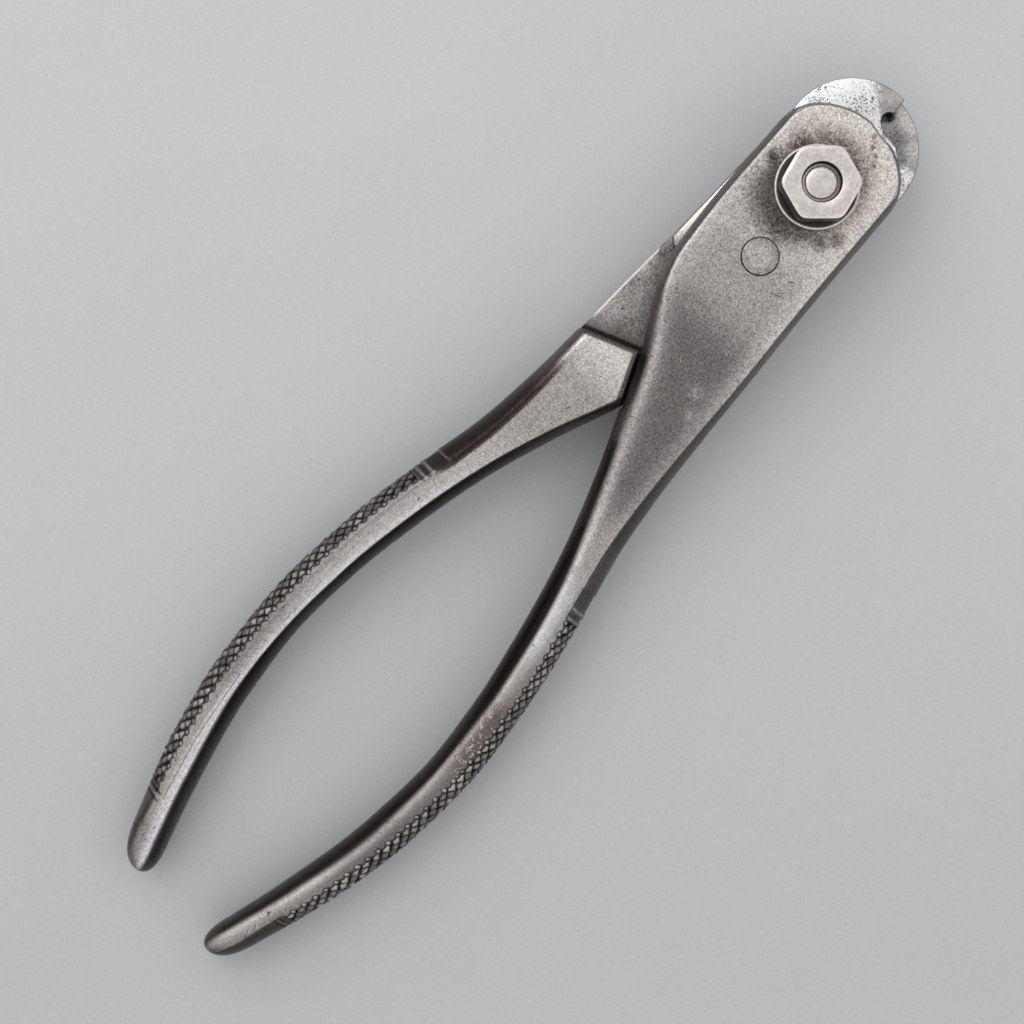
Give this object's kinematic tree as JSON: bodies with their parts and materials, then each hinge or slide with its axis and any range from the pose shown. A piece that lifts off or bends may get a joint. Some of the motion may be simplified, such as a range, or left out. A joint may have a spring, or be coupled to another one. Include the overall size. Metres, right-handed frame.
{
  "type": "wire cutter",
  "caption": "Hand wire cutter with forged lap-joint handles, knurled bowed grips and flat shearing blades with a wire notch.",
  "frame": {"origin": "on the pivot axis, at the underside of the bolt head", "axes": "+X to the right seen from the nut side, +Y along the tool from the grips to the blades, +Z along the pivot towards the nut"},
  "size_m": [0.0452, 0.1778, 0.0218],
  "materials": {
    "forged_handle": "worn forged steel with a dark brown-grey patina",
    "blade_steel": "ground bright steel with fine dark pitting",
    "dowel_steel": "satin steel, filed flush",
    "bolt_steel": "worn satin steel with light pitting"
  },
  "bodies": {
    "rear_half": {"rear_handle": "forged_handle", "rear_blade": "blade_steel", "rear_dowel": "dowel_steel", "pivot_bolt": "bolt_steel", "nut_washer": "bolt_steel", "pivot_nut": "bolt_steel"},
    "front_half": {"front_handle": "forged_handle", "front_blade": "blade_steel", "front_dowel": "dowel_steel"}
  },
  "joints": [
    {"name": "handle_pivot", "type": "hinge", "parent": "rear_half", "child": "front_half", "pos_m": [0, 0, 0.0094], "axis": [0, 0, 1], "range_deg": [0, 35]}
  ]
}
